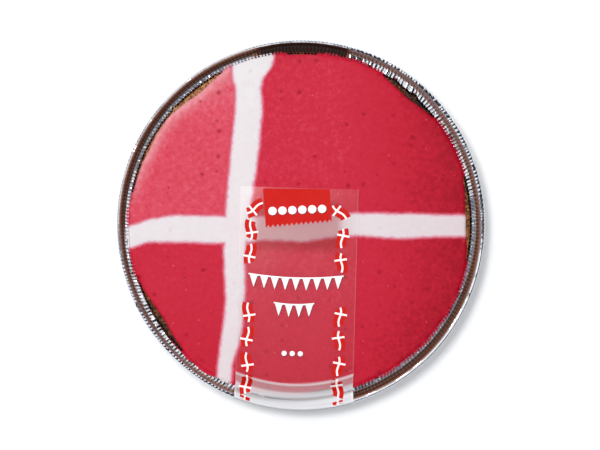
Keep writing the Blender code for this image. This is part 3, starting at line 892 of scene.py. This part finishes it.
def icing_sheet(name, plan, faces, rise, soft):
    """One colour's share of the icing as a closed sheet with its upper face in relief, clear of the foil."""
    used, index = np.unique(faces, return_inverse=True)
    x, y = plan[used].T
    distance = cross_distance(x, y)
    z = icing_height(x, y) + rise * eased(np.clip(-distance / (1.2 * MM), 0.0, 1.0))
    z = np.maximum(z, foil_height(x, y))
    sheet = mesh_object(name, np.stack([x, y, z], axis=-1).tolist(), index.reshape(-1, 3).tolist())
    set_points_attribute(sheet, "cross_edge", np.abs(distance))
    set_points_attribute(sheet, "paleness_and_light", paleness_and_light(x, y, soft))
    thicken(sheet, ICING_BODY)
    settle(sheet)
    corners = np.empty(3 * len(sheet.data.vertices), np.float32)
    sheet.data.vertices.foreach_get("co", corners)
    lower = corners.reshape(-1, 3)[len(x):]
    lower[:, 2] = np.maximum(lower[:, 2], foil_height(*lower[:, :2].T) - 0.15 * MM)
    sheet.data.vertices.foreach_set("co", corners)
    sheet.data.update()
    return sheet


def make_icing():
    plan, faces = icing_plan()
    x, y = plan[faces].mean(axis=1).T
    inside = np.hypot(x, y) < icing_radius(np.arctan2(y, x))
    white = cross_distance(x, y) < 0.0
    red_faces, white_faces = faces[inside & ~white], faces[inside & white]
    red_sheet = icing_sheet("red_icing_field", plan, red_faces, rise=0.0, soft=6 * MM)
    white_sheet = icing_sheet("white_icing_cross", plan, white_faces, rise=CROSS_RISE, soft=120 * MM)
    red = sugar_icing(
        "poured_red_sugar_icing", dark_fleck="#9a0c22", light_fleck="#e06a7c",
        shades=((0.0, "#a20a22"), (0.18, "#c31c34"), (0.35, "#cb263e"), (0.56, "#db4b5f"), (0.7, "#de6c79"),
                (1.0, "#f0a8ae")),
        bleeds=((2.0 * MM, 0.25, "#b3122c"), (1.3 * MM, 0.8, "#de7286")))
    pale = sugar_icing(
        "poured_white_sugar_icing", dark_fleck="#ddcdd2", light_fleck="#efebec",
        shades=((0.0, "#dfcfd3"), (0.35, "#e6dddf"), (0.56, "#ebe6e7"), (1.0, "#ece9e9")),
        bleeds=((2.8 * MM, 0.6, "#e4d2d9"), (1.4 * MM, 0.85, "#dc8197")))
    finish_piece(red_sheet, red, ["red_icing"])
    finish_piece(white_sheet, pale, ["white_cross"])


# Lid and film

def make_lid():
    """The lid's upper side, from its flange up to its flat top, and a wall below it."""
    top = LID_HIGH.z
    flange = LID_LOW.z + LID_SHEET
    corners = [(0.0, top), (LID_CORNER_RADIUS, top), (LID_FOOT_RADIUS, flange), (LID_HIGH.x, flange)]
    path = filleted(corners, LID_BEND)
    path.insert(1, (path[1][0] - 0.2 * MM, top))
    path.insert(-1, (path[-2][0] + 0.2 * MM, flange))
    points, faces = turned_shape(divided(path, step=8 * MM), LID_COLUMNS)
    lid = mesh_object("clear_lid_sheet", points.tolist(), faces)
    close_poles(lid)
    thicken(lid, LID_SHEET)
    clear, _, _ = clear_sheet("clear_thermoformed_sheet", face_on=0.0, edge_on=0.12, rough=0.08)
    finish_piece(lid, clear, ["clear_lid"])


def film_path():
    """The film's upper side as (radius, height), over the lid, into its foot and over the rim."""
    top = FILM_HIGH.z
    floor = LID_LOW.z + 0.85 * MM
    rim_top = TRAY_HIGH.z + 0.35 * MM
    over = TRAY_HIGH.x + 0.35 * MM
    corners = [(70 * MM, top), (LID_CORNER_RADIUS + 0.45 * MM, top), (LID_FOOT_RADIUS + 0.7 * MM, floor),
               (LEDGE_OUTER_RADIUS - 0.4 * MM, floor), (CURL_CENTRE[0] - 0.6 * MM, rim_top),
               (CURL_CENTRE[0] + 0.7 * MM, rim_top), (over, CURL_CENTRE[1]), (over + 0.2 * MM, FILM_LOW.z)]
    return np.array(divided(filleted(corners, bend=0.9 * MM, pieces=4), step=0.7 * MM))


FILM_PATH = film_path()
FILM_RISING = FILM_PATH[: int(np.argmax(FILM_PATH[:, 0] > TRAY_HIGH.x + 0.3 * MM))]


def wobble(x, y):
    """The film's slight lift where it isn't pressed down."""
    return 0.05 * MM * swell(x, y, across=11 * MM, along=16 * MM, cut=2.2)


def true_radius(x, y):
    """The radius that a point of the plan would have were the rim not out of round."""
    radius = np.hypot(x, y)
    return radius - bulge(np.arctan2(y, x), radius - bulge(np.arctan2(y, x), radius))


def film_height(x, y):
    """The height of the film's upper face over a point of the plan."""
    return np.interp(true_radius(x, y), FILM_RISING[:, 0], FILM_RISING[:, 1]) + wobble(x, y)


def on_film(points):
    """Plan positions of (across, along) points measured from the middle of the film's back end."""
    points = np.asarray(points, float)
    return FILM_BACK + points[:, :1] * FILM_ACROSS + points[:, 1:] * FILM_ALONG


def along_to(across, radius):
    """How far along the film a radius from the tray's centre is reached, for each place across it."""
    starts = on_film(np.stack([across, np.zeros_like(across)], axis=-1))
    ahead = starts @ FILM_ALONG
    return np.sqrt(ahead**2 - (starts**2).sum(axis=1) + radius**2) - ahead


def grid_faces(rows, columns):
    """Quads of a grid of points in rows, facing up where rows run towards -Y and columns towards +X."""
    corner = (np.arange(rows - 1)[:, None] * columns + np.arange(columns - 1)).reshape(-1)
    return np.stack([corner, corner + columns, corner + columns + 1, corner + 1], axis=-1)


def make_film():
    half = FILM_WIDTH / 2
    across = np.linspace(FILM_EDGE - half, half - FILM_EDGE, FILM_COLUMNS + 1)
    across = np.concatenate([[-half], across, [half]])
    flat_end = along_to(across, FILM_PATH[0, 0])
    rows = []
    for share in np.linspace(0.0, 1.0, FILM_LEVEL_ROWS, endpoint=False):
        plan = on_film(np.stack([across, share * flat_end], axis=-1))
        rows.append(np.column_stack([plan, FILM_HIGH.z + wobble(*plan.T)]))
    for radius, height in FILM_PATH:
        plan = bulged(on_film(np.stack([across, along_to(across, radius)], axis=-1)))
        rows.append(np.column_stack([plan, height + wobble(*plan.T)]))
    points = np.concatenate(rows)
    film = mesh_object("label_film_strip", points.tolist(), grid_faces(len(rows), len(across)).tolist())

    place = points[:, :2] - FILM_BACK
    x_across, y_along = place @ FILM_ACROSS, place @ FILM_ALONG
    # Painted haze and highlight by radius and along the side edges.
    haze_and_highlight = np.interp(true_radius(*points[:, :2].T) + FILM_FOOT_TURN * points[:, 0], *np.array(FILM_HAZE_AND_HIGHLIGHT).T)
    haze_and_highlight += FILM_EDGE_HIGHLIGHT * (half - np.abs(x_across) < FILM_EDGE / 2)
    # The patch's painted shadow, fading out at its sides and ends.
    middle, along, half_width, half_length, fade = FILM_PATCH_SHADOW
    spare_width = half_width - np.abs(x_across / MM - middle)
    spare_length = half_length - np.abs(y_along / MM - along)
    patch_shadow = np.clip(spare_width / fade, 0.0, 1.0) * np.clip(spare_length / fade, 0.0, 1.0)
    set_points_attribute(film, "haze_and_highlight", haze_and_highlight)
    set_points_attribute(film, "patch_shadow", eased(patch_shadow))
    finish_piece(film, printed_film(), ["film_label"])


# Print

def ribbon(centre, widths, columns=3):
    """A strip along a centre line of (across, along) points, as plan points and faces."""
    centre = np.asarray(centre, float)
    ahead = np.gradient(centre, axis=0)
    ahead = ahead / np.linalg.norm(ahead, axis=1, keepdims=True)
    side = np.stack([ahead[:, 1], -ahead[:, 0]], axis=-1)
    spread = np.linspace(-0.5, 0.5, columns)
    offsets = side[:, None, :] * (np.broadcast_to(widths, len(centre))[:, None] * spread)[:, :, None]
    return (centre[:, None, :] + offsets).reshape(-1, 2), grid_faces(len(centre), columns)


def line(start, end, pieces=8):
    """Points at even steps from start to end."""
    t = np.linspace(0.0, 1.0, pieces + 1)[:, None]
    return np.array(start) * (1 - t) + np.array(end) * t


def print_piece(name, shapes, lift, material):
    """All the shapes of one ink as one piece, laid on the film. Faces past the film's end are left out."""
    points = []
    faces = []
    total = 0
    for shape_points, shape_faces in shapes:
        plan = on_film(shape_points * MM)
        kept = true_radius(*plan.T)[shape_faces].max(axis=1) < FILM_RISING[-1, 0]
        points.append(plan)
        faces.append(shape_faces[kept] + total)
        total += len(plan)
    plan = np.concatenate(points)
    z = film_height(*plan.T) + lift
    piece = mesh_object(name, np.column_stack([plan, z]).tolist(), np.concatenate(faces).tolist())
    work = bmesh.new()
    work.from_mesh(piece.data)
    bmesh.ops.delete(work, geom=[point for point in work.verts if not point.link_faces], context="VERTS")
    bmesh.ops.reverse_faces(work, faces=[face for face in work.faces if face.normal.z < 0])
    work.to_mesh(piece.data)
    work.free()
    thicken(piece, INK, 1.0)
    finish_piece(piece, material)
    # The print casts no shadow of its own; the patch's shadow is painted on the film.
    piece.visible_shadow = False


def flag(middle, turn, bend):
    """A waving pennon with an off-centre cross, as its red field and its two white bars."""
    t = np.linspace(-0.5, 0.5, 15)
    wave = FLAG_WAVE * bend * np.sin(TURN * FLAG_WAVES * t)
    local = np.stack([wave, t * FLAG_LENGTH], axis=-1)
    a = math.radians(turn)
    spin = np.array([[math.cos(a), math.sin(a)], [-math.sin(a), math.cos(a)]])
    field = ribbon(local @ spin + middle, FLAG_WIDTH, 5)
    upright = ribbon((local * (1, 1.06)) @ spin + middle, FLAG_BAR)
    arm_place = FLAG_ARM * FLAG_LENGTH
    at = FLAG_WAVE * bend * math.sin(TURN * FLAG_WAVES * FLAG_ARM)
    reach = 0.58 * FLAG_WIDTH
    arm = line((at - reach, arm_place + bend * 0.5), (at + reach, arm_place - bend * 0.5)) @ spin + middle
    return field, upright, ribbon(arm, FLAG_BAR)


def pennants(middle, span, count, sag):
    """A festoon: a sagging line with small hanging triangles."""
    t = np.linspace(-0.5, 0.5, 33)
    rope = np.stack([middle[0] + t * span, middle[1] + sag * (1 - 4 * t * t)], axis=-1)
    shapes = [ribbon(rope, PENNANT_ROPE)]
    pitch = span / count
    for i in range(count):
        x = (i + 0.5) * pitch - span / 2
        y = middle[1] + sag * (1 - 4 * (x / span) ** 2)
        centre = line((middle[0] + x, y), (middle[0] + x, y + PENNANT_DROP))
        shapes.append(ribbon(centre, np.linspace(0.78 * pitch, 0.15, len(centre))))
    return shapes


def dot(middle, radius):
    """A round dot, as a short ribbon of changing width."""
    t = np.linspace(-1.0, 1.0, 15)
    centre = np.stack([np.full_like(t, middle[0]), middle[1] + t * radius], axis=-1)
    return ribbon(centre, 2 * radius * np.sqrt(np.clip(1 - t * t, 0.0004, 1.0)), 5)


def patch_shape():
    """A leaning patch whose front edge is cut in small teeth, as plan points and quads."""
    back_left, back_right, front_right, front_left = np.array(PATCH_CORNERS)
    t = np.linspace(0.0, 1.0, 2 * PATCH_TEETH + 1)[:, None]
    back = back_left + (back_right - back_left) * t
    front = front_left + (front_right - front_left) * t
    front[1::2, 1] -= PATCH_TOOTH
    shares = np.linspace(0.0, 1.0, 10)[:, None, None]
    rows = back * (1 - shares) + front * shares
    return rows.reshape(-1, 2), grid_faces(len(shares), len(t))


def make_print():
    """Red flags and a patch, white bars, pennants and dots, and the dark edge under the white."""
    flags = [flag((LEFT_COLUMN - 0.005 * v, v), 0, (-1) ** i) for i, v in enumerate(LEFT_FLAGS)]
    flags += [flag((RIGHT_COLUMN - 0.003 * v, v), 180, -((-1) ** i)) for i, v in enumerate(RIGHT_FLAGS)]
    flags += [flag((-21.9, 10.6), turn=58, bend=1), flag((20.0, 11.5), turn=135, bend=1)]
    fields = [field for field, _, _ in flags]
    bars = [bar for _, upright, arm in flags for bar in (upright, arm)]
    signs = pennants((-0.6, 43.0), span=47.0, count=9, sag=1.6)
    signs += pennants((-1.2, 57.0), span=20.0, count=4, sag=0.8)
    signs += [dot((-1.4 + 4.0 * i, 82.0), radius=1.3) for i in (-1, 0, 1)]
    signs += [dot((-0.9 + 4.9 * i, 10.9 - 0.35 * i), radius=2.1) for i in (-2.5, -1.5, -0.5, 0.5, 1.5, 2.5)]
    shaded = [(points + PRINT_SHADE_OFFSET, faces) for points, faces in signs]
    print_piece("film_print_red", fields + [patch_shape()], 0.01 * MM, ink("red_film_ink", "#d6180f"))
    print_piece("film_print_shade", shaded, 0.02 * MM, ink("dark_film_ink", "#5a141c"))
    print_piece("film_print_white", bars + signs, 0.05 * MM, ink("white_film_ink", "#fafafa"))


# Studio

def make_floor():
    """A sheet of translucent acrylic, lit from below a little, so that shadows on it stay pale."""
    corners = [(x * FLOOR_REACH, y * FLOOR_REACH, 0) for x, y in ((-1, -1), (1, -1), (1, 1), (-1, 1))]
    floor = mesh_object("floor", corners, [(0, 1, 2, 3)])
    material, _, shader = new_material("matt_white_acrylic")
    supply(shader, {"Base Color": linear("#f2f2f2"), "Roughness": 0.9,
                    "Emission Color": (1.0, 1.0, 1.0, 1.0), "Emission Strength": 0.18})
    floor.data.materials.append(material)


def toward(direction, height):
    """The way towards a direction and a height above the horizon, both in degrees."""
    around, up = math.radians(direction), math.radians(height)
    return Vector((math.cos(around) * math.cos(up), math.sin(around) * math.cos(up), math.sin(up)))


def softbox(name, direction, height, size, radiance):
    """An area light of the given width and height, pointed at the cake."""
    light = bpy.data.lights.new(name, "AREA")
    light.shape = "RECTANGLE"
    light.size, light.size_y = size
    light.energy = radiance * math.pi * size[0] * size[1]
    obj = bpy.data.objects.new(name, light)
    bpy.context.scene.collection.objects.link(obj)
    obj.location = toward(direction, height) * SOFTBOX_DISTANCE
    obj.rotation_euler = (-obj.location).to_track_quat("-Z", "Y").to_euler()
    obj.visible_camera = False


def make_lights():
    """A soft light high behind on the left with a dim one under it, a ring of diffusers, and a dim room."""
    softbox("key_softbox", direction=134, height=82, size=(0.2, 0.2), radiance=97.0)
    softbox("low_softbox", direction=125, height=24, size=(2.06, 1.1), radiance=1.15)
    world = bpy.data.worlds.new("dim_studio")
    world.use_nodes = True
    add = partial(add_node, world.node_tree)
    way = add("TexCoord").outputs["Generated"]
    level = DIMMEST
    for direction, height, half_width, strength in ROOM:
        near = add("VectorMath", (way, toward(direction, height)), operation="DOT_PRODUCT")
        part = add("MapRange", {
            "Value": near, "From Min": math.cos(math.radians(half_width)),
            "From Max": math.cos(math.radians(0.75 * half_width)), "To Max": strength},
            interpolation_type="SMOOTHSTEP")
        level = add("Math", (part, level), operation="ADD")
    low, high, soft, strength = RING
    up = add("SeparateXYZ", (way,)).outputs["Z"]
    shares = [add("MapRange", {
        "Value": up, "From Min": math.sin(math.radians(start)), "From Max": math.sin(math.radians(end))},
        interpolation_type="SMOOTHSTEP") for start, end in ((low, low + soft), (high + soft, high))]
    ring = add("Math", shares, operation="MULTIPLY")
    lit = add("Math", (ring, strength, level), operation="MULTIPLY_ADD")
    white = add("Mix", {
        "Factor": ring, "A": linear("#d0dcf0"), "B": linear("#ffffff")}, data_type="RGBA")
    supply(world.node_tree.nodes["Background"], {"Color": white, "Strength": lit})
    bpy.context.scene.world = world


def make_camera():
    """Straight above, with the photograph's middle pixel over the same point of the cake."""
    data = bpy.data.cameras.new("camera")
    data.sensor_width = SENSOR
    data.lens = SENSOR * (CAMERA_HEIGHT - LEDGE_HEIGHT) / (PHOTO_WIDTH * PIXEL)
    camera = bpy.data.objects.new("camera", data)
    bpy.context.scene.collection.objects.link(camera)
    x = (PHOTO_MIDDLE[0] - TRAY_CENTRE_PIXEL[0]) * PIXEL
    y = (TRAY_CENTRE_PIXEL[1] - PHOTO_MIDDLE[1]) * PIXEL
    camera.location = (x, y, CAMERA_HEIGHT)
    bpy.context.scene.camera = camera


def main():
    bpy.context.scene.view_settings.view_transform = "Standard"
    make_camera()
    make_tray()
    make_sponge()
    make_icing()
    make_lid()
    make_film()
    make_print()
    make_floor()
    make_lights()


main()
